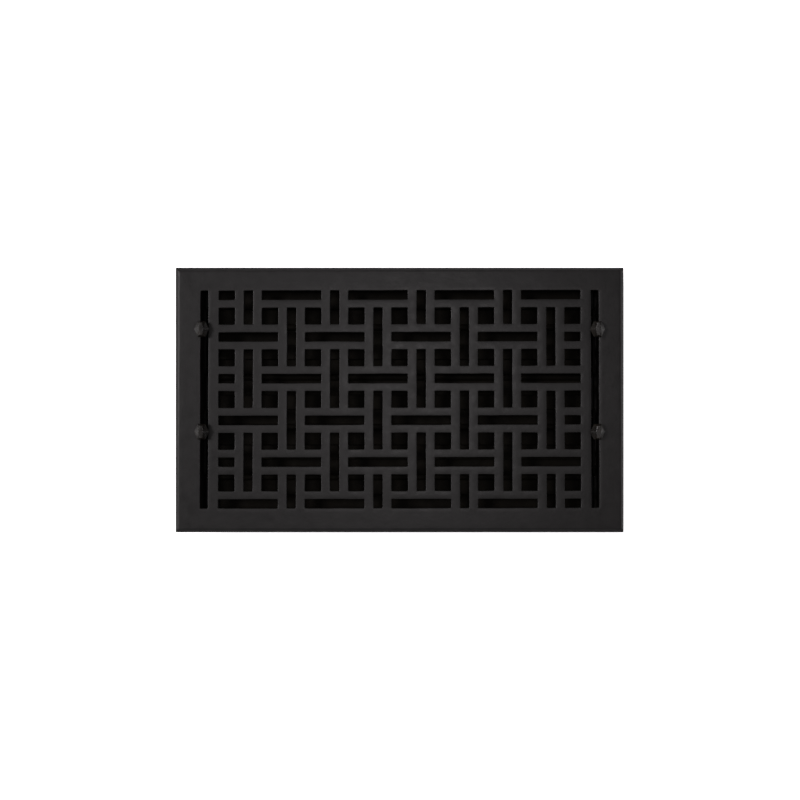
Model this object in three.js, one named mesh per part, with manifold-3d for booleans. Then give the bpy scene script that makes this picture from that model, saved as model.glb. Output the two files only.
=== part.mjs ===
// Cast iron floor register: a basket-weave grille plate over a sheet steel damper with two banks of
// louvre blades. Millimetres, +Z up. The origin is on the floor under the middle of the damper box.
// +X runs along the plate and +Y across it, and each bank has its link bars and knobs at both ends.
import * as THREE from 'three';
import { mergeVertices } from 'three/addons/utils/BufferGeometryUtils.js';
import Module from 'manifold-3d';

const wasm = await Module();
wasm.setup();

// Face plate
const plateLength = 390;
const plateWidth = 230.5;
const plateThickness = 5;
const bevelRun = 2.8;
const bevelDrop = 2;
const seatDepth = 0.8;

// Margins and bars of the openings, from the plate's ends and long sides inwards, and how far the
// openings are cast above the plate's middle
const endRim = 21.6;
const sideRim = 20.6;
const endSlotWidth = 7;
const endBarWidth = 8.9;
const columnBarWidth = 7.7;
const rowBarWidth = 6.9;
const uprightSlotWidth = 8;
const levelSlotWidth = 8;
const squareColumns = 9;
const squareRows = 5;
const weaveShift = 0.6;

// Damper: blades, strips and ledges, and the room they have to turn
const bankNames = ['upper', 'lower'];
const bladesPerBank = 2;
const floorLap = 14.75;
const sheetThickness = 1;
const stripWidth = 12.1;
const ledgeUpper = 17.5;
const ledgeLower = 13.5;
const bladeEdgeGap = 0.4;
const bladeEndGap = 2.8;
const bladeSheet = 1;
const bladeTopClearance = 3.3;
const bladeFloorClearance = 2.3;
const frameRise = 3;
const frameSkirt = 12;
const journalDepth = 13;

// Cranked rods and link bars
const rodDiameter = 3;
const beadWall = 1.3;
const crankReach = 9;
const crankRise = 8;
const journalToCrank = 0.5;
const crankToBar = 1.6;
const barThickness = 1.8;
const barHeight = 7.5;
const barOverhang = 7.5;
const barOffsetInSlot = 1.3;
const pinHeadDiameter = 4.8;
const pinHeadThickness = 0.8;
const pinHeadGap = 0.4;
const pinHeadToWall = 2.2;

// Knobs, each on its link bar's tab
const knobSides = 6;
const knobWidth = 13.6;
const knobLength = 14.2;
const knobTopWidth = 4.4;
const knobTopLength = 11;
const knobSkirtHeight = 2.8;
const knobSlopeHeight = 4.6;
const knobUndercut = 1.2;
const knobLift = 1.6;
const knobShift = 9.9;
const tabWidth = 6;
const tabInKnob = 4.2;

// Fasteners
const sleeveDiameter = 6.8;
const screwDiameter = 3;
const screwHeadDiameter = 5.4;
const screwHeadHeight = 2;
const screwCrownDiameter = 3.8;
const threadDepth = 2.6;
const screwTip = 1;
const driveSlotWidth = 0.9;
const driveSlotDepth = 0.9;
const rivetDiameter = 3;
const rivetHeadDiameter = 5.6;
const rivetHeadHeight = 0.9;
const rivetCrownDiameter = 3.4;
const rivetSpacing = 220;
const rivetDrop = 7;

// Clearances: between pieces that touch in the real object, and round pins in their holes
const contactGap = 0.3;
const holeClearance = 0.3;

// Sides of small cylinders, how far a cutter runs past what it cuts, and how near two vertices are one
const roundSides = 12;
const cutOverrun = 1;
const weldDistance = 1e-5;

// Sizes along X that follow from the ones above
const halfLength = plateLength / 2;
const slotCentreX = halfLength - endRim - endSlotWidth / 2;
const patternHalfLength = halfLength - endRim - endSlotWidth - endBarWidth;
const barX = slotCentreX + barOffsetInSlot;
const crankX = barX - barThickness / 2 - crankToBar - rodDiameter / 2;
const journalOuterX = crankX - rodDiameter / 2 - journalToCrank;
const journalInnerX = journalOuterX - sheetThickness;
const pinHeadX = barX + barThickness / 2 + pinHeadGap;
const boxInnerX = pinHeadX + pinHeadThickness + pinHeadToWall;
const boxOuterX = boxInnerX + sheetThickness;

// Sizes along Y
const halfWidth = plateWidth / 2;
const patternHalfWidth = halfWidth - sideRim;
const boxOuterY = halfWidth - floorLap;
const boxInnerY = boxOuterY - sheetThickness;
const skirtOuterY = boxInnerY - contactGap;
const skirtInnerY = skirtOuterY - sheetThickness;
const bladeCount = bladesPerBank * bankNames.length;
const windowsTop = skirtInnerY - ledgeUpper;
const windowsBottom = -skirtInnerY + ledgeLower;
const windowWidth = (windowsTop - windowsBottom - (bladeCount - 1) * stripWidth) / bladeCount;
const bladePitch = windowWidth + stripWidth;
const bladeHalfWidth = windowWidth / 2 - bladeEdgeGap;
const rodY = (blade) => windowsTop - windowWidth / 2 - blade * bladePitch;

// Heights above the floor
const rodZ = bladeFloorClearance + bladeHalfWidth;
const frameZ = rodZ + frameRise;
const frameTopZ = frameZ + sheetThickness;
const plateBottomZ = rodZ + bladeHalfWidth + bladeTopClearance;
const plateTopZ = plateBottomZ + plateThickness;
const seatZ = plateBottomZ + seatDepth;
const boxTopZ = seatZ - contactGap;
const knobBottomZ = plateTopZ + knobLift;
const tabTopZ = knobBottomZ + tabInKnob;

// The openings' own sizes: the squares take what the bars and slots leave
const squareLength = (2 * patternHalfLength - (squareColumns - 1) * (uprightSlotWidth + 2 * columnBarWidth))
  / squareColumns;
const squareWidth = (2 * patternHalfWidth - (squareRows + 1) * levelSlotWidth) / squareRows
  - 2 * rowBarWidth;
const columnPitch = squareLength + uprightSlotWidth + 2 * columnBarWidth;
const rowPitch = squareWidth + levelSlotWidth + 2 * rowBarWidth;

const holeRadius = rodDiameter / 2 + holeClearance;
const beadRadius = holeRadius + beadWall;

// Solids: a closed geometry becomes a solid that can be joined and cut, and comes back as a geometry
function toSolid(geometry) {
  const bare = geometry.clone();
  bare.deleteAttribute('normal');
  bare.deleteAttribute('uv');
  const merged = mergeVertices(bare, weldDistance);
  return new wasm.Manifold(new wasm.Mesh({
    numProp: 3,
    vertProperties: new Float32Array(merged.attributes.position.array),
    triVerts: new Uint32Array(merged.index.array),
  }));
}

function toGeometry(solid) {
  const mesh = solid.getMesh();
  const geometry = new THREE.BufferGeometry();
  geometry.setAttribute('position', new THREE.BufferAttribute(mesh.vertProperties, 3));
  geometry.setIndex(new THREE.BufferAttribute(mesh.triVerts, 1));
  const faceted = geometry.toNonIndexed();
  faceted.computeVertexNormals();
  return faceted;
}

const joinAll = (geometries) => geometries.map(toSolid).reduce((sum, next) => sum.add(next));
const cutAll = (solid, geometries) => (geometries.length ? solid.subtract(joinAll(geometries)) : solid);

// A box between two corners
function block(x0, x1, y0, y1, z0, z1) {
  const box = new THREE.BoxGeometry(x1 - x0, y1 - y0, z1 - z0);
  return box.translate((x0 + x1) / 2, (y0 + y1) / 2, (z0 + z1) / 2);
}

const alongX = new THREE.Vector3(1, 0, 0);
const alongY = new THREE.Vector3(0, 1, 0);
const alongZ = new THREE.Vector3(0, 0, 1);

// A round bar in any direction, centred on the origin
function roundBar(radius, length, direction) {
  const bar = new THREE.CylinderGeometry(radius, radius, length, roundSides);
  bar.applyQuaternion(new THREE.Quaternion().setFromUnitVectors(alongY, direction));
  return bar;
}

// An outline drawn in the YZ plane, made solid along X and centred on the plane
function extrudeAlongX(outline, length) {
  const options = { depth: length, bevelEnabled: false, curveSegments: roundSides / 2 };
  const solid = new THREE.ExtrudeGeometry(outline, options);
  solid.translate(0, 0, -length / 2);
  return solid.applyMatrix4(new THREE.Matrix4().makeBasis(alongY, alongZ, alongX));
}

function rectanglePath(x0, x1, y0, y1) {
  const path = new THREE.Path();
  path.moveTo(x0, y0).lineTo(x0, y1).lineTo(x1, y1).lineTo(x1, y0).closePath();
  return path;
}

function rectangleShape(halfX, halfY) {
  const shape = new THREE.Shape();
  shape.moveTo(-halfX, -halfY).lineTo(halfX, -halfY).lineTo(halfX, halfY).lineTo(-halfX, halfY).closePath();
  return shape;
}

// Basket weave: at each crossing of a row of slots and a bar between two squares, either a level slot
// joins the two squares' columns or an upright slot joins the two squares' rows, turn by turn.
// Each opening is [x0, x1, y0, y1]
function basketWeave() {
  const columnX = (column) => (column - (squareColumns - 1) / 2) * columnPitch;
  const rowY = (row) => ((squareRows - 1) / 2 - row) * rowPitch;
  const around = (middle, size) => [middle - size / 2, middle + size / 2];
  const openings = [];
  for (let column = 0; column < squareColumns; column++) {
    for (let row = 0; row < squareRows; row++) {
      openings.push([...around(columnX(column), squareLength), ...around(rowY(row), squareWidth)]);
    }
  }
  for (let row = 0; row <= squareRows; row++) {
    for (let column = -1; column < squareColumns; column++) {
      const isLevel = (row + column) % 2 !== 0;
      const isInside = column >= 0 && column < squareColumns - 1;
      if (isLevel) {
        const left = columnX(Math.max(column, 0)) - squareLength / 2;
        const right = columnX(Math.min(column + 1, squareColumns - 1)) + squareLength / 2;
        openings.push([left, right, ...around(rowY(row) + rowPitch / 2, levelSlotWidth)]);
      } else if (isInside) {
        const top = row === 0 ? patternHalfWidth : rowY(row - 1) + squareWidth / 2;
        const bottom = row === squareRows ? -patternHalfWidth : rowY(row) - squareWidth / 2;
        openings.push([...around(columnX(column) + columnPitch / 2, uprightSlotWidth), bottom, top]);
      }
    }
  }
  return openings;
}

function endSlots() {
  return [-slotCentreX, slotCentreX].map((centre) => (
    [centre - endSlotWidth / 2, centre + endSlotWidth / 2, -patternHalfWidth, patternHalfWidth]
  ));
}

// Screws go up through both ends of each bank's middle strip and a spacer sleeve into the plate, where
// each has a blind hole
const screwX = journalInnerX - contactGap - screwHeadDiameter / 2;
const screwPlaces = [];
for (let bank = 0; bank < bankNames.length; bank++) {
  const stripY = rodY(bank * bladesPerBank) - bladePitch / 2;
  screwPlaces.push([-screwX, stripY], [screwX, stripY]);
}
const screwHoleRadius = screwDiameter / 2 + holeClearance;
const screwShoulderZ = frameZ - contactGap;
const screwTopZ = seatZ + threadDepth;
const screwLength = screwTopZ - screwShoulderZ;
const sleeveBottomZ = frameTopZ + contactGap;
const sleeveHeight = seatZ - contactGap - sleeveBottomZ;

// The plate is one casting with a bevelled rim. Its underside is sunk a little where the box sits, so the
// rim that lies on the floor is a land around the box
function grillePlate() {
  const slab = block(-halfLength, halfLength, -halfWidth, halfWidth, plateBottomZ, plateTopZ - bevelDrop);
  const bevelled = block(-halfLength, halfLength, -halfWidth, halfWidth, plateTopZ - bevelDrop, plateTopZ);
  const corners = bevelled.attributes.position;
  const bevelMiddleZ = plateTopZ - bevelDrop / 2;
  for (let corner = 0; corner < corners.count; corner++) {
    if (corners.getZ(corner) > bevelMiddleZ) {
      corners.setX(corner, corners.getX(corner) - Math.sign(corners.getX(corner)) * bevelRun);
      corners.setY(corner, corners.getY(corner) - Math.sign(corners.getY(corner)) * bevelRun);
    }
  }
  const openings = [...basketWeave(), ...endSlots()].map(([x0, x1, y0, y1]) => (
    block(x0, x1, y0 + weaveShift, y1 + weaveShift, plateBottomZ - cutOverrun, plateTopZ + cutOverrun)
  ));
  const seatX = boxOuterX + contactGap;
  const seatY = boxOuterY + contactGap;
  const seat = block(-seatX, seatX, -seatY, seatY, plateBottomZ - cutOverrun, seatZ);
  const holeTopZ = screwTopZ + holeClearance;
  const holeHeight = holeTopZ - plateBottomZ;
  const holes = screwPlaces.map(([x, y]) => roundBar(screwHoleRadius, holeHeight, alongZ)
    .translate(x, y, holeTopZ - holeHeight / 2));
  return toGeometry(cutAll(joinAll([slab, bevelled]), [...openings, seat, ...holes]));
}

// A sleeve holds the frame off the plate. Its middle is at z 0
function spacerSleeve() {
  const tube = toSolid(roundBar(sleeveDiameter / 2, sleeveHeight, alongZ));
  return toGeometry(cutAll(tube, [roundBar(screwHoleRadius, sleeveHeight + 2 * cutOverrun, alongZ)]));
}

// Rivets through the box's long sides and the frame's skirts
const rivetZ = frameTopZ - rivetDrop;
const rivetPlaces = [[-1, 1], [1, 1], [-1, -1], [1, -1]];
const rivetX = rivetSpacing / 2;
const rivetHoleRadius = rivetDiameter / 2 + holeClearance;

function rivetHoles() {
  const reach = 2 * (boxOuterY + cutOverrun);
  const hole = roundBar(rivetHoleRadius, reach, alongY);
  return [-rivetX, rivetX].map((x) => hole.clone().translate(x, 0, rivetZ));
}

function damperBox() {
  const outline = rectangleShape(boxOuterX, boxOuterY);
  outline.holes = [rectanglePath(-boxInnerX, boxInnerX, -boxInnerY, boxInnerY)];
  const sleeve = new THREE.ExtrudeGeometry(outline, { depth: boxTopZ, bevelEnabled: false });
  return toGeometry(cutAll(toSolid(sleeve), rivetHoles()));
}

// One pressed sheet: windows for the blades with raised strips between them, long sides folded down as
// skirts and ends folded down as journals with a hole for each rod
function damperFrame() {
  const outline = rectangleShape(journalOuterX, skirtOuterY);
  for (let blade = 0; blade < bladeCount; blade++) {
    outline.holes.push(rectanglePath(
      -journalInnerX, journalInnerX, rodY(blade) - windowWidth / 2, rodY(blade) + windowWidth / 2,
    ));
  }
  const sheet = new THREE.ExtrudeGeometry(outline, { depth: sheetThickness, bevelEnabled: false });
  sheet.translate(0, 0, frameZ);
  const skirt = new THREE.BoxGeometry(2 * journalOuterX, sheetThickness, frameSkirt);
  const journal = new THREE.BoxGeometry(sheetThickness, 2 * skirtOuterY, journalDepth);
  const skirtY = (skirtInnerY + skirtOuterY) / 2;
  const journalX = (journalInnerX + journalOuterX) / 2;
  const folds = [-1, 1].flatMap((side) => [
    skirt.clone().translate(0, side * skirtY, frameTopZ - frameSkirt / 2),
    journal.clone().translate(side * journalX, 0, frameTopZ - journalDepth / 2),
  ]);
  const rodHole = roundBar(holeRadius, 2 * (journalOuterX + cutOverrun), alongX);
  const rodHoles = [];
  for (let blade = 0; blade < bladeCount; blade++) {
    rodHoles.push(rodHole.clone().translate(0, rodY(blade), rodZ));
  }
  const screwHoles = screwPlaces.map(([x, y]) => roundBar(screwHoleRadius, 2 * sheetThickness, alongZ)
    .translate(x, y, frameZ + sheetThickness / 2));
  return toGeometry(cutAll(joinAll([sheet, ...folds]), [...rodHoles, ...rivetHoles(), ...screwHoles]));
}

// A blade is a flat sheet with a bead rolled along its middle, bored for the rod
function louvreBlade() {
  const halfSheet = bladeSheet / 2;
  const rootAngle = Math.asin(halfSheet / beadRadius);
  const rootY = beadRadius * Math.cos(rootAngle);
  const outline = new THREE.Shape();
  outline.moveTo(-bladeHalfWidth, -halfSheet);
  outline.lineTo(-rootY, -halfSheet);
  outline.absarc(0, 0, beadRadius, Math.PI + rootAngle, 2 * Math.PI - rootAngle, false);
  outline.lineTo(bladeHalfWidth, -halfSheet);
  outline.lineTo(bladeHalfWidth, halfSheet);
  outline.lineTo(rootY, halfSheet);
  outline.absarc(0, 0, beadRadius, rootAngle, Math.PI - rootAngle, false);
  outline.lineTo(-bladeHalfWidth, halfSheet);
  outline.closePath();
  const bore = new THREE.Path();
  bore.absarc(0, 0, holeRadius, 0, 2 * Math.PI, true);
  outline.holes = [bore];
  return toGeometry(toSolid(extrudeAlongX(outline, 2 * (journalInnerX - bladeEndGap))));
}

// A rod turns in the journals, and each end is bent up to a crank with a pin for the link bar
function crankRod() {
  const radius = rodDiameter / 2;
  const throwLength = Math.hypot(crankReach, crankRise);
  const throwDirection = new THREE.Vector3(0, crankReach, crankRise).normalize();
  const pinLength = pinHeadX + pinHeadThickness / 2 - crankX;
  const pieces = [roundBar(radius, 2 * crankX, alongX)];
  for (const side of [-1, 1]) {
    pieces.push(
      roundBar(radius, throwLength + 2 * radius, throwDirection)
        .translate(side * crankX, crankReach / 2, crankRise / 2),
      roundBar(radius, pinLength, alongX).translate(side * (crankX + pinLength / 2), crankReach, crankRise),
      roundBar(pinHeadDiameter / 2, pinHeadThickness, alongX)
        .translate(side * (pinHeadX + pinHeadThickness / 2), crankReach, crankRise),
    );
  }
  return toGeometry(joinAll(pieces));
}

// A link bar joins its bank's cranks. Drawn about the first blade's pin, with the tab for the knob
const barRun = (bladesPerBank - 1) * bladePitch;
const tabY = -barRun / 2 + knobShift;
function linkBar() {
  const halfHeight = barHeight / 2;
  const topY = barOverhang - halfHeight;
  const bottomY = -barRun - topY;
  const pinZ = rodZ + crankRise;
  const outline = new THREE.Shape();
  outline.moveTo(bottomY, -halfHeight);
  outline.lineTo(topY, -halfHeight);
  outline.absarc(topY, 0, halfHeight, -Math.PI / 2, Math.PI / 2, false);
  outline.lineTo(tabY + tabWidth / 2, halfHeight);
  outline.lineTo(tabY + tabWidth / 2, tabTopZ - pinZ);
  outline.lineTo(tabY - tabWidth / 2, tabTopZ - pinZ);
  outline.lineTo(tabY - tabWidth / 2, halfHeight);
  outline.lineTo(bottomY, halfHeight);
  outline.absarc(bottomY, 0, halfHeight, Math.PI / 2, 3 * Math.PI / 2, false);
  for (let pin = 0; pin < bladesPerBank; pin++) {
    const hole = new THREE.Path();
    hole.absarc(-pin * bladePitch, 0, holeRadius, 0, 2 * Math.PI, true);
    outline.holes.push(hole);
  }
  return toGeometry(toSolid(extrudeAlongX(outline, barThickness)));
}

// A knob is a six-sided skirt under a blunt pyramid with a long narrow top, and has a pocket for the tab.
// Its width is across two corners, its length across two flats. Its base is at z 0
function knob() {
  const skirtTopZ = knobSkirtHeight;
  const topZ = skirtTopZ + knobSlopeHeight;
  const profile = [
    new THREE.Vector2(0, 0),
    new THREE.Vector2(knobWidth / 2 - knobUndercut, 0),
    new THREE.Vector2(knobWidth / 2, skirtTopZ),
    new THREE.Vector2(knobTopWidth / 2, topZ),
    new THREE.Vector2(0, topZ),
  ];
  const body = new THREE.LatheGeometry(profile, knobSides, Math.PI / 2).rotateX(Math.PI / 2);
  const corners = body.attributes.position;
  const slopeMiddleZ = skirtTopZ + knobSlopeHeight / 2;
  const flatReach = Math.cos(Math.PI / knobSides);
  for (let corner = 0; corner < corners.count; corner++) {
    const isTop = corners.getZ(corner) > slopeMiddleZ;
    const lengthToWidth = isTop ? knobTopLength / knobTopWidth : knobLength / knobWidth;
    corners.setY(corner, corners.getY(corner) * lengthToWidth / flatReach);
  }
  const pocketX = barThickness / 2 + contactGap;
  const pocketY = tabWidth / 2 + contactGap;
  const pocket = block(-pocketX, pocketX, -pocketY, pocketY, -cutOverrun, tabInKnob + contactGap);
  return toGeometry(cutAll(toSolid(body), [pocket]));
}

// A screw points up and hangs its slotted head under the frame. Its shoulder is at z 0
function frameScrew() {
  const radius = screwDiameter / 2;
  const headRadius = screwHeadDiameter / 2;
  const headEdge = screwHeadHeight / 2;
  const profile = [
    new THREE.Vector2(0, -screwHeadHeight),
    new THREE.Vector2(screwCrownDiameter / 2, -screwHeadHeight),
    new THREE.Vector2(headRadius, -headEdge),
    new THREE.Vector2(headRadius, 0),
    new THREE.Vector2(radius, 0),
    new THREE.Vector2(radius, screwLength - screwTip),
    new THREE.Vector2(radius - screwTip / 2, screwLength),
    new THREE.Vector2(0, screwLength),
  ];
  const body = new THREE.LatheGeometry(profile, roundSides).rotateX(Math.PI / 2);
  const halfSlot = driveSlotWidth / 2;
  const slot = block(-headRadius - cutOverrun, headRadius + cutOverrun, -halfSlot, halfSlot,
    -screwHeadHeight - cutOverrun, -screwHeadHeight + driveSlotDepth);
  return toGeometry(cutAll(toSolid(body), [slot]));
}

// A rivet points inwards along -Y through both sheets. Its outer shoulder is at y 0
function boxRivet() {
  const radius = rivetDiameter / 2;
  const headRadius = rivetHeadDiameter / 2;
  const grip = 2 * sheetThickness + 3 * contactGap;
  const profile = [
    new THREE.Vector2(0, -rivetHeadHeight),
    new THREE.Vector2(rivetCrownDiameter / 2, -rivetHeadHeight),
    new THREE.Vector2(headRadius, 0),
    new THREE.Vector2(radius, 0),
    new THREE.Vector2(radius, grip),
    new THREE.Vector2(headRadius, grip),
    new THREE.Vector2(rivetCrownDiameter / 2, grip + rivetHeadHeight),
    new THREE.Vector2(0, grip + rivetHeadHeight),
  ];
  return toGeometry(toSolid(new THREE.LatheGeometry(profile, roundSides).rotateX(Math.PI)));
}

// Finishes
const castBlack = () => new THREE.MeshStandardMaterial({ color: 0x2c2b2b, roughness: 0.62, metalness: 0.35 });
const sheetBlack = () => new THREE.MeshStandardMaterial({ color: 0x1c1b19, roughness: 0.55, metalness: 0.4 });
const rodSteel = () => new THREE.MeshStandardMaterial({ color: 0x5a5955, roughness: 0.4, metalness: 0.9 });

function place(name, geometry, material, x = 0, y = 0, z = 0) {
  const mesh = new THREE.Mesh(geometry, material);
  mesh.name = name;
  mesh.position.set(x, y, z);
  return mesh;
}

const housing = new THREE.Group();
housing.add(place('grille_plate', grillePlate(), castBlack()));
housing.add(place('damper_box', damperBox(), sheetBlack()));
housing.add(place('damper_frame', damperFrame(), sheetBlack()));
screwPlaces.forEach(([x, y], index) => {
  const sleeveZ = sleeveBottomZ + sleeveHeight / 2;
  housing.add(place(`spacer_sleeve_${index + 1}`, spacerSleeve(), rodSteel(), x, y, sleeveZ));
  housing.add(place(`frame_screw_${index + 1}`, frameScrew(), rodSteel(), x, y, screwShoulderZ));
});
rivetPlaces.forEach(([sideX, sideY], index) => {
  const rivet = place(`box_rivet_${index + 1}`, boxRivet(), rodSteel());
  rivet.position.set(sideX * rivetX, sideY * (boxOuterY + contactGap), rivetZ);
  rivet.rotation.z = sideY > 0 ? 0 : Math.PI;
  housing.add(rivet);
});

// Each bank: its blades on their rods, then a link bar and a knob at each end
const banks = new THREE.Group();
for (let bank = 0; bank < bankNames.length; bank++) {
  const firstBlade = bank * bladesPerBank;
  for (let blade = firstBlade; blade < firstBlade + bladesPerBank; blade++) {
    const turning = new THREE.Group();
    turning.position.set(0, rodY(blade), rodZ);
    turning.add(place(`louvre_blade_${blade + 1}`, louvreBlade(), sheetBlack()));
    turning.add(place(`crank_rod_${blade + 1}`, crankRod(), rodSteel()));
    banks.add(turning);
  }
  const links = new THREE.Group();
  links.position.set(0, rodY(firstBlade) + crankReach, rodZ + crankRise);
  for (const [side, endName] of [[-1, 'left'], [1, 'right']]) {
    const knobZ = knobBottomZ - links.position.z;
    links.add(place(`link_bar_${bankNames[bank]}_${endName}`, linkBar(), rodSteel(), side * barX));
    links.add(place(`knob_${bankNames[bank]}_${endName}`, knob(), castBlack(), side * barX, tabY, knobZ));
  }
  banks.add(links);
}

const register = new THREE.Group();
register.add(housing, banks);
register.updateMatrixWorld(true);

export default register;
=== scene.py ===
import math

import bmesh
import bpy
import numpy as np
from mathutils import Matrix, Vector
from mathutils.geometry import tessellate_polygon


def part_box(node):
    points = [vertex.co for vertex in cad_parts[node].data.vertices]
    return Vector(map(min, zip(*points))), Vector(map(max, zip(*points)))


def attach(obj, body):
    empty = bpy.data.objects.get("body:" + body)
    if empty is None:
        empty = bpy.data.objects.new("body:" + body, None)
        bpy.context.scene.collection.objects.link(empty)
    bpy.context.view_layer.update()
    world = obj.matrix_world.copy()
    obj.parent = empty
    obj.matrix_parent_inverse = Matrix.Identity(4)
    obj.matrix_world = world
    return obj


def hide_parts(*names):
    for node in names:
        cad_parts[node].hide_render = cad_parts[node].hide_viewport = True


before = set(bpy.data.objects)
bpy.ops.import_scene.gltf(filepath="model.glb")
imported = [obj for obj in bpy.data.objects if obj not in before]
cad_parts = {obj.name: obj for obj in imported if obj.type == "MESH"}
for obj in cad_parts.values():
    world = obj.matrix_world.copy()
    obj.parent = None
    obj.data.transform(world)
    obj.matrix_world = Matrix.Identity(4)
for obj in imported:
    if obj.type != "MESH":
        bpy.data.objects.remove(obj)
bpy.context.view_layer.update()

MM = 0.001

# Plate and openings, as in the CAD source
PLATE_LOW, PLATE_HIGH = (np.array(corner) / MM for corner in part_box("grille_plate"))
PLATE = (PLATE_HIGH - PLATE_LOW)[:2]
PLATE_BOTTOM, PLATE_TOP = PLATE_LOW[2], PLATE_HIGH[2]
BEVEL_RUN, BEVEL_DROP = 2.8, 2.0
SEAT_CLEARANCE, SEAT_DEPTH = 0.3, 0.8
SEAT = np.array(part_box("damper_box")[1])[:2] / MM + SEAT_CLEARANCE
END_SLOT = (166.4, 173.4)
PATTERN_REACH = 94.65
SQUARES = (9, 5)
SQUARE = np.array([14.2, 14.46])
UPRIGHT_SLOT, LEVEL_SLOT = 8.0, 8.0
COLUMN_BAR, ROW_BAR = 7.7, 6.9
PITCH = SQUARE + (UPRIGHT_SLOT + 2 * COLUMN_BAR, LEVEL_SLOT + 2 * ROW_BAR)
WEAVE_SHIFT = 0.6

# Radii of the openings' lips, of the rim's foot, of the plate's corners and of the openings' corners
LIP, FOOT_RADIUS, RIM_CORNER_RADIUS, CORNER_RADIUS_RANGE = 0.45, 0.4, 0.8, (0.4, 1.1)

# How crisply the bevel turns into the face
BEVEL_SHARPNESS = 9

# The face's rise and fall, how far it lies under the CAD's, and how far the pattern strays sideways
UNEVENNESS, SUNK = 0.03, 0.06
LEAN, SLANT, WANDER = 2e-5, 0.0018, 0.06

# Grid lines of the plate's mesh: beside an opening's edge, inwards from the rim, at the seat, and in between
INTO_METAL, INTO_HOLE = (0.08, 0.25, 0.55), 0.5
RIM_LINES = (0, 0.1, 0.4, 1.5, 2.35, 2.8, 3.3, 4.2)
SEAT_STEP = 0.1
WIDEST_CELL, LEAST_GAP = 3.6, 0.03

random = np.random.default_rng(7)


def link(obj):
    bpy.context.scene.collection.objects.link(obj)
    return obj


def mesh_object(name, points, faces, material, smooth_angle):
    """A smooth-shaded mesh, sharp where faces meet at more than the given angle."""
    mesh = bpy.data.meshes.new(name)
    mesh.from_pydata((np.asarray(points, float) * MM).tolist(), [], [list(map(int, f)) for f in faces])
    mesh.validate()
    mesh.polygons.foreach_set("use_smooth", [True] * len(mesh.polygons))
    mesh.set_sharp_from_angle(angle=math.radians(smooth_angle))
    mesh.materials.append(material)
    return link(bpy.data.objects.new(name, mesh))


def finish_piece(obj, body, node_name):
    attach(obj, body)
    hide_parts(node_name)


# Materials


def node(tree, kind, **values):
    """A new node. Each value goes to the socket of its name, or else to the node's own setting."""
    made = tree.nodes.new(kind)
    for key, value in values.items():
        if key in made.inputs.keys():
            made.inputs[key].default_value = value
        else:
            setattr(made, key, value)
    return made


def noise(tree, scale, detail, roughness=0.5):
    """Noise over the object's own coordinates. The scale is features for each metre."""
    where = node(tree, "ShaderNodeTexCoord")
    made = node(tree, "ShaderNodeTexNoise", Scale=scale, Detail=detail, Roughness=roughness)
    tree.links.new(where.outputs["Object"], made.inputs["Vector"])
    return made.outputs["Fac"]


def remap(tree, source, low, high, to_low, to_high):
    made = node(tree, "ShaderNodeMapRange", clamp=True)
    for socket, value in (("From Min", low), ("From Max", high), ("To Min", to_low), ("To Max", to_high)):
        made.inputs[socket].default_value = value
    tree.links.new(source, made.inputs["Value"])
    return made.outputs["Result"]


def mix(tree, factor, first, second):
    """A mix of two colours. The Mix node has several sockets of one name, so these go by number."""
    first_colour, second_colour, colour_out = 6, 7, 2
    made = node(tree, "ShaderNodeMix", data_type="RGBA")
    tree.links.new(factor, made.inputs["Factor"])
    made.inputs[first_colour].default_value = (*first, 1)
    made.inputs[second_colour].default_value = (*second, 1)
    return made.outputs[colour_out]


def bump(tree, height, distance, before=None):
    """Raised by up to the distance, in metres, on top of the bump before it."""
    made = node(tree, "ShaderNodeBump", Strength=1.0, Distance=distance)
    tree.links.new(height, made.inputs["Height"])
    if before:
        tree.links.new(before, made.inputs["Normal"])
    return made.outputs["Normal"]


def finish(name, dark, light, roughness, grain, grain_depth, swell, swell_depth, mottle=90, metallic=0.0,
           specular=0.5):
    """A painted or bare metal: two tones mottled together, uneven gloss, a fine grain and a slow swell.

    Mottle, grain and swell are features for each metre, and the depths are metres.
    """
    made = bpy.data.materials.new(name)
    made.use_nodes = True
    tree = made.node_tree
    shader = tree.nodes["Principled BSDF"]
    shader.inputs["Metallic"].default_value = metallic
    shader.inputs["Specular IOR Level"].default_value = specular
    tone_contrast, gloss_contrast, gloss_scale = (0.35, 0.65), (0.3, 0.7), mottle * 1.7
    tone = mix(tree, remap(tree, noise(tree, mottle, 4.0, 0.6), *tone_contrast, 0, 1), dark, light)
    tree.links.new(tone, shader.inputs["Base Color"])
    gloss = remap(tree, noise(tree, gloss_scale, 3.0), *gloss_contrast, *roughness)
    tree.links.new(gloss, shader.inputs["Roughness"])
    slow = bump(tree, noise(tree, swell, 2.0), swell_depth)
    fine = bump(tree, noise(tree, grain, 3.0, 0.6), grain_depth, slow)
    tree.links.new(fine, shader.inputs["Normal"])
    return made


cast_paint = finish(
    "cast iron, black paint", (0.0078, 0.0073, 0.0073), (0.0105, 0.0099, 0.0098), (0.36, 0.46),
    grain=1100, grain_depth=0.00006, swell=260, swell_depth=0.00009, specular=0.235)
knob_paint = finish(
    "knob, worn black paint", (0.0050, 0.0044, 0.0040), (0.0125, 0.0106, 0.0088), (0.24, 0.32),
    grain=900, grain_depth=0.00002, swell=300, swell_depth=0.0001, mottle=120, specular=0.24)
# Black paint, partly painted shade: the frame and blades are made several times darker than the box's same
# black paint, standing in for the shade they lie in deep inside the box
sheet_paint_with_painted_shade = finish(
    "sheet steel, black paint with painted shade", (0.0024, 0.0019, 0.0012), (0.0040, 0.0033, 0.0022), (0.62, 0.76),
    grain=1400, grain_depth=0.00002, swell=60, swell_depth=0.0002, specular=0.05)
box_paint = finish(
    "damper box, black paint", (0.0105, 0.0099, 0.0094), (0.0150, 0.0142, 0.0134), (0.44, 0.58),
    grain=1200, grain_depth=0.00002, swell=45, swell_depth=0.00012, specular=0.22)
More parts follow.
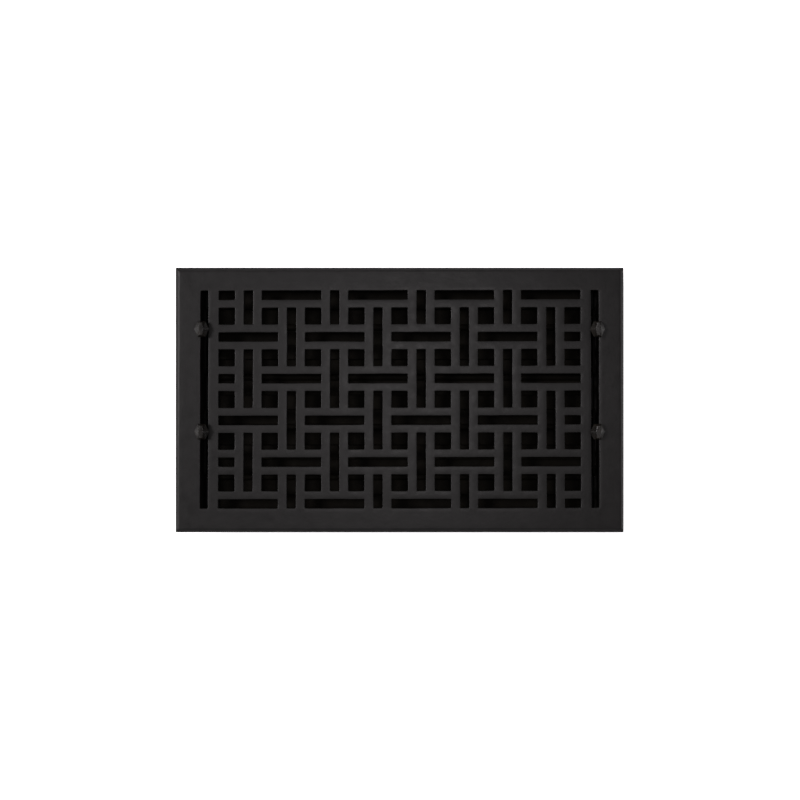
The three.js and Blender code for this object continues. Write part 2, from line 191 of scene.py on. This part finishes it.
# Black steel, partly painted shade: the link bars are made several times darker than the box's paint,
# standing in for the shade they lie in under the end slots
bar_paint_with_painted_shade = finish(
    "link bar, black steel with painted shade", (0.0020, 0.0018, 0.0016), (0.0032, 0.0029, 0.0026), (0.60, 0.72),
    grain=1400, grain_depth=0.00002, swell=120, swell_depth=0.0001, specular=0.05)
rod_steel = finish(
    "rod, dark bare steel", (0.008, 0.0074, 0.0066), (0.016, 0.015, 0.0135), (0.44, 0.58),
    grain=2600, grain_depth=0.00001, swell=300, swell_depth=0.00003, mottle=220, metallic=1.0)


# The grille: a grid with lines at every opening's edge and close beside it, so that lips can be rounded


def column_x(column):
    return (column - (SQUARES[0] - 1) / 2) * PITCH[0]


def row_y(row):
    return ((SQUARES[1] - 1) / 2 - row) * PITCH[1]


def openings():
    """Every opening as (x0, x1, y0, y1)."""
    found = []
    half = SQUARE / 2
    for column in range(SQUARES[0]):
        for row in range(SQUARES[1]):
            x, y = column_x(column), row_y(row)
            found.append((x - half[0], x + half[0], y - half[1], y + half[1]))
    for row in range(SQUARES[1] + 1):
        for column in range(-1, SQUARES[0]):
            if (row + column) % 2:
                left, right = column_x(max(column, 0)), column_x(min(column + 1, SQUARES[0] - 1))
                y = row_y(row) + PITCH[1] / 2
                found.append((left - half[0], right + half[0], y - LEVEL_SLOT / 2, y + LEVEL_SLOT / 2))
            elif 0 <= column < SQUARES[0] - 1:
                top = PATTERN_REACH if row == 0 else row_y(row - 1) + half[1]
                bottom = -PATTERN_REACH if row == SQUARES[1] else row_y(row) - half[1]
                x = column_x(column) + PITCH[0] / 2
                found.append((x - UPRIGHT_SLOT / 2, x + UPRIGHT_SLOT / 2, bottom, top))
    for side in (-1, 1):
        x0, x1 = sorted((side * END_SLOT[0], side * END_SLOT[1]))
        found.append((x0, x1, -PATTERN_REACH, PATTERN_REACH))
    return np.array(found) + (0, 0, WEAVE_SHIFT, WEAVE_SHIFT)


def grid_lines(lows, highs, half, seat):
    """Grid lines along one axis: opening edges, lines each side of them, the rim's bevel, and fillers."""
    lines = []
    for edges, metal in ((lows, -1), (highs, 1)):
        for edge in np.unique(np.round(edges, 6)):
            lines += [edge, edge - metal * INTO_HOLE] + [edge + metal * d for d in INTO_METAL]
    for edge in (-half, half):
        lines += [edge - math.copysign(d, edge) for d in RIM_LINES]
    lines += [-seat, seat, -seat + SEAT_STEP, seat - SEAT_STEP]
    lines = np.unique(np.round(lines, 4))
    lines = lines[np.concatenate([[True], np.diff(lines) > LEAST_GAP])]
    filled = []
    for low, high in zip(lines[:-1], lines[1:]):
        steps = max(1, math.ceil((high - low) / WIDEST_CELL))
        filled += list(np.linspace(low, high, steps, endpoint=False))
    return np.array(filled + [lines[-1]])


def waves(x, y, longest, shortest, seed):
    """A smooth random field of about unit height, from plane waves of random heading."""
    count = 24
    rng = np.random.default_rng(seed)
    total = np.zeros_like(x)
    for _ in range(count):
        length = shortest * (longest / shortest) ** rng.random()
        heading = rng.random() * 2 * math.pi
        phase = rng.random() * 2 * math.pi
        total += np.sin(2 * math.pi * (x * math.cos(heading) + y * math.sin(heading)) / length + phase)
    return total * math.sqrt(2 / count)


def turn_corner(along, radius):
    """How far an edge point moves, along the edge and across it, when its corner is rounded."""
    angle = math.pi / 4 * (1 - np.clip(along / radius, 0, 1))
    inside = along < radius
    return (np.where(inside, radius * (1 - np.sin(angle)) - along, 0),
            np.where(inside, radius * (1 - np.cos(angle)), 0))


def round_opening_corners(xs, ys, px, py, holes, radii):
    """Moves the grid's points along the openings' edges so that each corner is round. Alters px and py."""
    reach, touching = 1.2, 1e-6
    for (x0, x1, y0, y1), corner_radii in zip(holes, radii):
        corners = ((x0, y0, 1, 1), (x1, y0, -1, 1), (x0, y1, 1, -1), (x1, y1, -1, -1))
        for (cx, cy, sx, sy), radius in zip(corners, corner_radii):
            i = np.nonzero(abs(xs - cx) < radius + reach)[0]
            j = np.nonzero(abs(ys - cy) < radius + reach)[0]
            u, v = np.meshgrid(sx * (xs[i] - cx), sy * (ys[j] - cy), indexing="ij")
            on_edge = (u < touching) | (v < touching)
            a, b = np.maximum(u, 0), np.maximum(v, 0)
            fade = np.clip(1 - np.hypot(np.minimum(u, 0), np.minimum(v, 0)) / reach, 0, 1) * on_edge
            along, across = turn_corner(np.maximum(a, b), radius)
            move_x, move_y = np.where(a >= b, along, across), np.where(a >= b, across, along)
            at_corner = (a < touching) & (b < touching)
            move_x, move_y = np.where(at_corner, across, move_x), np.where(at_corner, across, move_y)
            px[np.ix_(i, j)] += sx * move_x * fade
            py[np.ix_(i, j)] += sy * move_y * fade


def distance_to_openings(xs, ys, px, py, holes, radii):
    """Each point's distance to the nearest opening's rounded outline, or far away where none is close."""
    far, margin = 99.0, 4
    near = np.full(px.shape, far)
    for (x0, x1, y0, y1), corner_radii in zip(holes, radii):
        i = np.nonzero((xs > x0 - margin) & (xs < x1 + margin))[0]
        j = np.nonzero((ys > y0 - margin) & (ys < y1 + margin))[0]
        window = np.ix_(i, j)
        cx, cy = (x0 + x1) / 2, (y0 + y1) / 2
        right, upper = px[window] > cx, py[window] > cy
        radius = corner_radii[(right + 2 * upper).astype(int)]
        qx = abs(px[window] - cx) - ((x1 - x0) / 2 - radius)
        qy = abs(py[window] - cy) - ((y1 - y0) / 2 - radius)
        away = np.hypot(np.maximum(qx, 0), np.maximum(qy, 0)) + np.minimum(np.maximum(qx, qy), 0) - radius
        near[window] = np.minimum(near[window], np.maximum(away, 0))
    return near


def round_plate_corners(gx, gy, px, py, half):
    """Rounds the plate's own corners. Alters px and py, and returns each point's depth in from the rim."""
    fade_depth, touching = 5, 1e-6
    edge_x, edge_y = half[0] - abs(gx), half[1] - abs(gy)
    depth, run = np.minimum(edge_x, edge_y), abs(edge_x - edge_y)
    along, across = turn_corner(run, RIM_CORNER_RADIUS)
    fade = np.clip(1 - depth / fade_depth, 0, 1)
    long_x = edge_x >= edge_y
    at_corner = run < touching
    px -= np.sign(gx) * np.where(at_corner, across, np.where(long_x, along, across)) * fade
    py -= np.sign(gy) * np.where(at_corner, across, np.where(long_x, across, along)) * fade
    return depth


def plate_top(gx, gy, near, depth):
    """Heights of the face: rounded lips, the rim's bevel, and the slow rise and fall of a casting."""
    even_rim = 4
    lip = np.clip(LIP - near, 0, LIP)
    drop = LIP - np.sqrt(LIP**2 - lip**2)
    bevel = BEVEL_DROP * np.logaddexp(0, (1 - depth / BEVEL_RUN) * BEVEL_SHARPNESS) / BEVEL_SHARPNESS
    foot = np.clip(FOOT_RADIUS - depth, 0, FOOT_RADIUS)
    bevel += FOOT_RADIUS - np.sqrt(np.maximum(FOOT_RADIUS**2 - foot**2, 0))
    uneven = UNEVENNESS * waves(gx, gy, longest=60, shortest=14, seed=3) - SUNK
    return PLATE_TOP - drop - bevel + uneven * np.clip(depth / even_rim, 0, 1)


def wall_faces(solid, index, count):
    """The walls of the openings and of the rim, in two rows from the face's edge down to the underside."""
    # For each side of a cell: which cell is beside it, and the two corners that they share
    sides = (((-1, 0), (0, 1), (0, 0)), ((1, 0), (1, 0), (1, 1)),
             ((0, -1), (0, 0), (1, 0)), ((0, 1), (1, 1), (0, 1)))
    padded = np.pad(solid, 1)
    faces = []
    for (di, dj), first, second in sides:
        beside = padded[1 + di:1 + di + solid.shape[0], 1 + dj:1 + dj + solid.shape[1]]
        a, b = np.nonzero(solid & ~beside)
        p, q = index[a + first[0], b + first[1]], index[a + second[0], b + second[1]]
        for level in range(2):
            faces.append(np.stack([q, p, p + count, q + count], 1) + level * count)
    return faces


def grille():
    """The pierced plate as points and faces: a grid for the face, the same for the underside, and walls."""
    holes = openings()
    half = PLATE / 2
    xs = grid_lines(holes[:, 0], holes[:, 1], half[0], SEAT[0])
    ys = grid_lines(holes[:, 2], holes[:, 3], half[1], SEAT[1])
    middle_x, middle_y = (xs[1:] + xs[:-1]) / 2, (ys[1:] + ys[:-1]) / 2
    solid = np.ones((len(middle_x), len(middle_y)), bool)
    for x0, x1, y0, y1 in holes:
        solid &= ~(((middle_x > x0) & (middle_x < x1))[:, None] & ((middle_y > y0) & (middle_y < y1))[None])
    gx, gy = np.meshgrid(xs, ys, indexing="ij")
    px, py = gx.copy(), gy.copy()
    radii = random.uniform(*CORNER_RADIUS_RANGE, (len(holes), 4))
    round_opening_corners(xs, ys, px, py, holes, radii)
    near = distance_to_openings(xs, ys, px, py, holes, radii)
    depth = round_plate_corners(gx, gy, px, py, half)
    top = plate_top(gx, gy, near, depth)
    straight_rim = 3
    inner = np.clip(depth / straight_rim, 0, 1)
    px += (WANDER * waves(gx, gy, longest=50, shortest=12, seed=5) - LEAN * gx * gy) * inner
    py += (WANDER * waves(gx, gy, longest=50, shortest=12, seed=6) + SLANT * gx) * inner

    used = np.zeros(px.shape, bool)
    for di in (0, 1):
        for dj in (0, 1):
            used[di:di + solid.shape[0], dj:dj + solid.shape[1]] |= solid
    index = np.cumsum(used.ravel()).reshape(used.shape) - 1
    count = int(used.sum())
    flat_x, flat_y, flat_top = px[used], py[used], top[used]
    in_seat = (abs(gx) < SEAT[0] - SEAT_STEP / 2) & (abs(gy) < SEAT[1] - SEAT_STEP / 2)
    under = np.where(in_seat, PLATE_BOTTOM + SEAT_DEPTH, PLATE_BOTTOM)[used]
    below_face, above_underside = 1.2, 1
    levels = [flat_top, np.maximum(flat_top - below_face, under + above_underside), under]
    points = np.concatenate([np.stack([flat_x, flat_y, z], 1) for z in levels])
    a, b = np.nonzero(solid)
    quad = np.stack([index[a, b], index[a + 1, b], index[a + 1, b + 1], index[a, b + 1]], 1)
    faces = np.concatenate([quad, quad[:, ::-1] + 2 * count] + wall_faces(solid, index, count))
    keep = np.unique(faces)
    return points[keep], np.searchsorted(keep, faces)


grille_plate = mesh_object("grille", *grille(), cast_paint, 50)
finish_piece(grille_plate, "housing", "grille_plate")


# Helpers for turned, swept and bent pieces


def merged(*parts):
    """Several (points, faces) as one."""
    points, faces, start = [], [], 0
    for part_points, part_faces in parts:
        points.append(np.asarray(part_points, float))
        faces += [[start + int(i) for i in face] for face in part_faces]
        start += len(part_points)
    return np.concatenate(points), faces


def loops_to_faces(loops, sides, closed=False):
    """Quads between neighbouring loops of points, each loop with the same number of sides.

    Closed joins the last loop to the first.
    """
    faces = []
    for k in range(loops if closed else loops - 1):
        a, b = k * sides, (k + 1) % loops * sides
        faces += [(a + i, a + (i + 1) % sides, b + (i + 1) % sides, b + i) for i in range(sides)]
    return faces


def turned(profile, sides, closed=False):
    """A profile of (radius, height) turned about Z. Radius 0 at an end closes it there."""
    angles = np.arange(sides) * 2 * math.pi / sides
    ends = [profile[0][0] == 0, profile[-1][0] == 0]
    rings = profile[ends[0]:len(profile) - ends[1]]
    points = [(r * math.cos(t), r * math.sin(t), z) for r, z in rings for t in angles]
    faces = loops_to_faces(len(rings), sides, closed)
    if ends[0]:
        faces += [(len(points), (i + 1) % sides, i) for i in range(sides)]
        points.append((0, 0, profile[0][1]))
    if ends[1]:
        last = (len(rings) - 1) * sides
        faces += [(len(points), last + i, last + (i + 1) % sides) for i in range(sides)]
        points.append((0, 0, profile[-1][1]))
    return np.array(points, float), faces


def rounded_path(corners, radius, steps=7):
    """A path through corners, each inner corner turned with the radius."""
    corners = [Vector(c) for c in corners]
    path = [corners[0]]
    for before, corner, after in zip(corners, corners[1:], corners[2:]):
        back, on = (before - corner).normalized(), (after - corner).normalized()
        half = back.angle(on) / 2
        reach = radius / math.tan(half)
        middle = corner + (back + on).normalized() * radius / math.sin(half)
        start, end = corner + back * reach - middle, corner + on * reach - middle
        path += [middle + start.slerp(end, k / steps) for k in range(steps + 1)]
    return path + [corners[-1]]


def swept(path, radius, sides=20):
    """A round bar along a path, with its ends a little blunted."""
    path = [Vector(p) for p in path]
    first, last = (path[1] - path[0]).normalized(), (path[-1] - path[-2]).normalized()
    nip = 0.12 * radius
    path = [path[0], path[0] + first * nip] + path[1:-1] + [path[-1] - last * nip, path[-1]]
    radii = [radius - nip] + [radius] * (len(path) - 2) + [radius - nip]
    points, side = [], Vector((0, 1, 0))
    for k, place in enumerate(path):
        ahead = (path[min(k + 1, len(path) - 1)] - path[max(k - 1, 0)]).normalized()
        side = (side - ahead * side.dot(ahead)).normalized()
        other = ahead.cross(side)
        for t in np.arange(sides) * 2 * math.pi / sides:
            points.append(place + (side * math.cos(t) + other * math.sin(t)) * radii[k])
    faces = loops_to_faces(len(path), sides)
    end = (len(path) - 1) * sides
    faces += [tuple(range(sides))[::-1], tuple(range(end, end + sides))]
    return np.array(points, float), faces


def along_x(part, side, place):
    """A part turned about Z, laid along +X or -X and moved."""
    points, faces = part
    points = np.stack([points[:, 2] * side, points[:, 1] * side, -points[:, 0]], 1) + place
    return points, faces


def even_normals(obj):
    """Large flat faces keep flat shading up to their rounded edges."""
    modifier = obj.modifiers.new("even normals", "WEIGHTED_NORMAL")
    modifier.keep_sharp = True


def facing_out(obj):
    work = bmesh.new()
    work.from_mesh(obj.data)
    bmesh.ops.recalc_face_normals(work, faces=work.faces)
    work.to_mesh(obj.data)
    work.free()
    return obj


def softened(node_name, material, width):
    """A copy of a CAD node with its edges rounded over the width."""
    same_place, same_plane, sharp_angle = 1e-6, math.radians(1), math.radians(30)
    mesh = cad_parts[node_name].data.copy()
    mesh.name = node_name + "_rounded"
    work = bmesh.new()
    work.from_mesh(mesh)
    bmesh.ops.remove_doubles(work, verts=work.verts, dist=same_place)
    bmesh.ops.dissolve_limit(work, angle_limit=same_plane, verts=work.verts, edges=work.edges)
    sharp = [e for e in work.edges if len(e.link_faces) == 2 and e.calc_face_angle(0) > sharp_angle]
    bmesh.ops.bevel(work, geom=sharp, offset=width * MM, segments=2, profile=0.5, affect="EDGES",
                    clamp_overlap=True)
    bmesh.ops.recalc_face_normals(work, faces=work.faces)
    work.to_mesh(mesh)
    work.free()
    mesh.polygons.foreach_set("use_smooth", [True] * len(mesh.polygons))
    mesh.set_sharp_from_angle(angle=sharp_angle)
    mesh.materials.clear()
    mesh.materials.append(material)
    made = link(bpy.data.objects.new(node_name + "_rounded", mesh))
    even_normals(made)
    return made


def middle(node_name):
    """The middle of a node's box at rest."""
    low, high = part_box(node_name)
    return np.array((low + high) / 2) / MM


# Damper: box, frame, blades and rods

BORE_RADIUS = 1.8


def rounded_rectangle(half_x, half_y, radius, steps=6):
    """The outline of a rectangle about the middle, its corners turned with the radius."""
    points = []
    for cx, cy, start in ((1, 1, 0), (-1, 1, 90), (-1, -1, 180), (1, -1, 270)):
        for k in range(steps + 1):
            t = math.radians(start + 90 * k / steps)
            points.append((cx * (half_x - radius) + radius * math.cos(t),
                           cy * (half_y - radius) + radius * math.sin(t)))
    return points


def box_sleeve():
    """The bent sheet of the box, with rounded corners and dulled edges."""
    thickness, nip, corner_radius = 1, 0.3, 2.4
    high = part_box("damper_box")[1] / MM
    outer = [(nip, 0), (0, nip), (0, high.z - nip), (nip, high.z)]
    profile = outer + [(thickness - inset, z) for inset, z in reversed(outer)]
    points = []
    for inset, z in profile:
        outline = rounded_rectangle(high.x - inset, high.y - inset, corner_radius - inset)
        points += [(x, y, z) for x, y in outline]
    sides = len(points) // len(profile)
    return np.array(points, float), loops_to_faces(len(profile), sides, True)


def blade_outline(half_width, bead, half_sheet=0.5, nip=0.25, bead_steps=14):
    """A blade's cross-section: over the bead and round one edge of the sheet, then the same turned about."""
    root = math.asin(half_sheet / bead)
    upper = [(bead * math.cos(t), bead * math.sin(t)) for t in np.linspace(math.pi - root, root, bead_steps)]
    edge = [(half_width - nip, half_sheet), (half_width, half_sheet - nip), (half_width, nip - half_sheet),
            (half_width - nip, -half_sheet)]
    half = upper + edge
    return half + [(-y, -z) for y, z in half]


def blade(node_name):
    """A blade of bent sheet, its bead bored for the rod."""
    bore_sides, sections = 24, 25
    low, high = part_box(node_name)
    centre = middle(node_name)
    half_length, half_width = (high.x - low.x) / 2 / MM, (high.y - low.y) / 2 / MM
    outline = blade_outline(half_width, (high.z - low.z) / 2 / MM)
    turns = np.arange(bore_sides) * 2 * math.pi / bore_sides
    bore = [(BORE_RADIUS * math.cos(t), BORE_RADIUS * math.sin(t)) for t in turns]
    outer, inner = len(outline), len(bore)
    stations = np.linspace(-half_length, half_length, sections)
    points = [(x, y, z) for x in stations for y, z in outline]
    faces = [face[::-1] for face in loops_to_faces(len(stations), outer)]
    start = len(points)
    points += [(x, y, z) for x in (-half_length, half_length) for y, z in bore]
    faces += [[start + i for i in face] for face in loops_to_faces(2, inner)]
    flat = [[Vector((y, z, 0)) for y, z in outline], [Vector((y, z, 0)) for y, z in bore]]
    for station, end, flip in ((0, start, False), ((len(stations) - 1) * outer, start + inner, True)):
        for a, b, c in tessellate_polygon(flat):
            face = [station + i if i < outer else end + i - outer for i in (a, b, c)]
            faces.append(face[::-1] if flip else face)
    return np.array(points, float) + centre, faces


def rod(node_name, blade_name):
    """A round rod with bent cranks and a flattened head on each pin."""
    rod_radius, bend_radius = 1.5, 1.7
    reach, rise, crank_to_bar = 9.0, 8.0, 3.1
    head_depth, rod_in_head = 0.8, 0.5
    low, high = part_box(node_name)
    axis = middle(blade_name)
    head_out = high.x / MM
    rod_end = head_out - rod_in_head
    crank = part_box("link_bar_upper_right")[0].x / MM - crank_to_bar
    half = [(crank, 0, 0), (crank, reach, rise), (rod_end, reach, rise)]
    corners = [(-x, y, z) for x, y, z in reversed(half)] + half
    corners = [(x, y + axis[1], z + axis[2]) for x, y, z in corners]
    head = [(0, 0), (2.2, 0), (2.4, 0.12), (2.4, 0.34), (2.0, 0.62), (1.2, 0.78), (0, head_depth)]
    head_in = head_out - head_depth
    heads = [along_x(turned(head, sides=24), side, (side * head_in, axis[1] + reach, axis[2] + rise))
             for side in (-1, 1)]
    return merged(swept(rounded_path(corners, bend_radius), rod_radius), *heads)


box = facing_out(mesh_object("box_sleeve", *box_sleeve(), box_paint, 40))
even_normals(box)
finish_piece(box, "housing", "damper_box")
finish_piece(softened("damper_frame", sheet_paint_with_painted_shade, 0.18), "housing", "damper_frame")
for number in range(1, 5):
    blade_node, rod_node = f"louvre_blade_{number}", f"crank_rod_{number}"
    louvre = facing_out(mesh_object(f"blade_{number}", *blade(blade_node), sheet_paint_with_painted_shade, 35))
    finish_piece(louvre, f"blade_{number}", blade_node)
    bent = facing_out(mesh_object(f"rod_{number}", *rod(rod_node, blade_node), rod_steel, 50))
    finish_piece(bent, f"blade_{number}", rod_node)


# Link bars and knobs


def knob(node_name):
    """A six-sided knob, its facets uneven and its edges worn. Its long narrow top tilts down to the left."""
    foot_inset, widest_at, top_half = 1.2, 2.8, (2.2, 5.5)
    sides, uneven, worn, top_lean = 6, 0.05, 0.3, 0.065
    low, high = (np.array(corner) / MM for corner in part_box(node_name))
    centre, half = (low + high) / 2, (high - low) / 2
    rings = [((half[0] - foot_inset, half[1] - foot_inset), 0), ((half[0], half[1]), widest_at),
             (top_half, 2 * half[2])]
    angles = 2 * math.pi * np.arange(sides) / sides
    work = bmesh.new()
    loops = []
    for (across, along), z in rings:
        shares = 1 - uneven * random.random(sides)
        x = centre[0] + across * shares * np.cos(angles)
        y = centre[1] + along * shares * np.sin(angles) / math.cos(math.pi / sides)
        drop = top_lean * (x.max() - x) if z > half[2] else 0 * x
        loops.append([work.verts.new(corner * MM) for corner in np.column_stack((x, y, low[2] + z - drop))])
    for below, above in zip(loops, loops[1:]):
        for i in range(sides):
            work.faces.new((below[i], below[(i + 1) % sides], above[(i + 1) % sides], above[i]))
    work.faces.new(loops[0][::-1])
    work.faces.new(loops[-1])
    bmesh.ops.triangulate(work, faces=[face for face in work.faces if len(face.verts) == 4])
    bmesh.ops.join_triangles(work, faces=work.faces, angle_face_threshold=math.radians(6),
                             angle_shape_threshold=math.radians(80))
    bmesh.ops.bevel(work, geom=list(work.edges), offset=worn * MM, segments=3, profile=0.5, affect="EDGES",
                    clamp_overlap=True)
    mesh = bpy.data.meshes.new(node_name + "_worn")
    work.to_mesh(mesh)
    work.free()
    mesh.polygons.foreach_set("use_smooth", [True] * len(mesh.polygons))
    mesh.materials.append(knob_paint)
    made = link(bpy.data.objects.new(node_name + "_worn", mesh))
    even_normals(made)
    return made


for bank in ("upper", "lower"):
    for end in ("left", "right"):
        bar_node, knob_node = f"link_bar_{bank}_{end}", f"knob_{bank}_{end}"
        finish_piece(softened(bar_node, bar_paint_with_painted_shade, 0.3), bank + "_links", bar_node)
        finish_piece(knob(knob_node), bank + "_links", knob_node)


# Fasteners


def sleeve(node_name):
    """A tube with dulled outer edges."""
    outer, nip = 3.4, 0.2
    low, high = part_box(node_name)
    half = (high.z - low.z) / 2 / MM
    profile = [(BORE_RADIUS, -half), (outer - nip, -half), (outer, nip - half), (outer, half - nip),
               (outer - nip, half), (BORE_RADIUS, half)]
    points, faces = turned(profile, sides=32, closed=True)
    return points + middle(node_name), faces


def rivet(node_name):
    """A rivet with a domed head on each side of the sheet, lying along Y."""
    neck = 1.5
    dome = [(0, 2.35), (0.9, 2.26), (1.7, 2.0), (2.4, 1.66), (2.8, 1.45)]
    shank = [(neck, dome[-1][1]), (neck, -dome[-1][1])]
    profile = dome + shank + [(radius, -height) for radius, height in reversed(dome)]
    place = middle(node_name)
    side = 1 if place[1] > 0 else -1
    points, faces = turned(profile[::-1], sides=28)
    return np.stack([points[:, 0], points[:, 2] * side, points[:, 1]], 1) + place, faces


for number in range(1, 5):
    sleeve_node = f"spacer_sleeve_{number}"
    tube = facing_out(mesh_object(f"sleeve_{number}", *sleeve(sleeve_node), rod_steel, 40))
    finish_piece(tube, "housing", sleeve_node)
    screw_node = f"frame_screw_{number}"
    finish_piece(softened(screw_node, rod_steel, 0.15), "housing", screw_node)
    rivet_node = f"box_rivet_{number}"
    domed = facing_out(mesh_object(f"rivet_{number}", *rivet(rivet_node), rod_steel, 50))
    finish_piece(domed, "housing", rivet_node)


# Floor, lights and camera


def paper(name, tone, glow):
    """Plain paper. A glow keeps it white in the register's soft shadow."""
    made = bpy.data.materials.new(name)
    made.use_nodes = True
    shader = made.node_tree.nodes["Principled BSDF"]
    shader.inputs["Base Color"].default_value = (tone, tone, tone, 1)
    shader.inputs["Roughness"].default_value = 0.9
    shader.inputs["Specular IOR Level"].default_value = 0.1
    shader.inputs["Emission Color"].default_value = (1, 1, 1, 1)
    shader.inputs["Emission Strength"].default_value = glow
    return made


def sheet_of_paper(name, size, drop, tone, glow):
    """A level sheet under the register, its size and its drop below the register in metres."""
    bpy.ops.mesh.primitive_plane_add(size=1, location=(0, 0, -drop))
    sheet = bpy.context.object
    sheet.name = name
    for corner in sheet.data.vertices:
        corner.co.x, corner.co.y = corner.co.x * size[0], corner.co.y * size[1]
    sheet.data.materials.append(paper(name, tone, glow))


sheet_of_paper("floor", size=(60, 60), drop=0.0004, tone=0.93, glow=0.72)
# Painted shade: a near-black sheet under the box, in place of the glowing floor, stands in for the shade
# inside the box
box_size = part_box("damper_box")[1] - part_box("damper_box")[0]
sheet_of_paper("painted_shade_under_box", size=(box_size.x, box_size.y), drop=0.0002, tone=0.01, glow=0)


WARM = (1.0, 0.955, 0.97)


def soft_sun(name, azimuth, elevation, strength, spread):
    """A broad, even light. Azimuth is where it comes from, anticlockwise from +X, and spread its width.

    The angles are in degrees.
    """
    data = bpy.data.lights.new(name, "SUN")
    data.energy = strength
    data.angle = math.radians(spread)
    data.color = WARM
    made = link(bpy.data.objects.new(name, data))
    turn, rise = math.radians(azimuth), math.radians(elevation)
    toward = Vector((math.cos(turn) * math.cos(rise), math.sin(turn) * math.cos(rise), math.sin(rise)))
    made.rotation_euler = toward.to_track_quat("Z", "Y").to_euler()


def round_light(name, place, size, watts):
    """A disk that shines down, its place and size in metres."""
    data = bpy.data.lights.new(name, "AREA")
    data.shape = "DISK"
    data.size = size
    data.energy = watts
    data.color = WARM
    made = link(bpy.data.objects.new(name, data))
    made.location = place


soft_sun("key", azimuth=170, elevation=50, strength=1.85, spread=16)
soft_sun("low left", azimuth=178, elevation=16, strength=0.34, spread=30)
soft_sun("fill right", azimuth=-2, elevation=20, strength=0.62, spread=36)
soft_sun("fill front", azimuth=-86, elevation=44, strength=0.14, spread=50)
soft_sun("fill back", azimuth=90, elevation=26, strength=0.34, spread=40)
# Brightens the plate's middle, as in the photo
round_light("overhead", place=(0.03, 0.05, 1.25), size=0.20, watts=2.3)

# The studio is dim in what the object mirrors, and white behind it where a low view reaches past the floor
world = bpy.data.worlds.new("studio")
world.use_nodes = True
tree = world.node_tree
seen = tree.nodes["Background"]
seen.inputs["Color"].default_value = (1, 1, 1, 1)
around = node(tree, "ShaderNodeBackground", Color=(1, 1, 1, 1), Strength=0.10)
ray = node(tree, "ShaderNodeLightPath")
choice = node(tree, "ShaderNodeMixShader")
mirrored, behind = choice.inputs[1], choice.inputs[2]
tree.links.new(ray.outputs["Is Camera Ray"], choice.inputs["Fac"])
tree.links.new(around.outputs["Background"], mirrored)
tree.links.new(seen.outputs["Background"], behind)
tree.links.new(choice.outputs["Shader"], tree.nodes["World Output"].inputs["Surface"])
bpy.context.scene.world = world
bpy.context.scene.view_settings.view_transform = "Standard"

# Straight above, in metres: height over the face, width of the face's level in the picture, place along X
camera_height, frame_width, camera_x = 0.9, 0.6949, 0.00033
sensor_width = 36
camera_data = bpy.data.cameras.new("camera")
camera_data.sensor_width = sensor_width
camera_data.lens = sensor_width * camera_height / frame_width
camera = link(bpy.data.objects.new("camera", camera_data))
camera.location = (camera_x, 0, PLATE_TOP * MM + camera_height)
bpy.context.scene.camera = camera
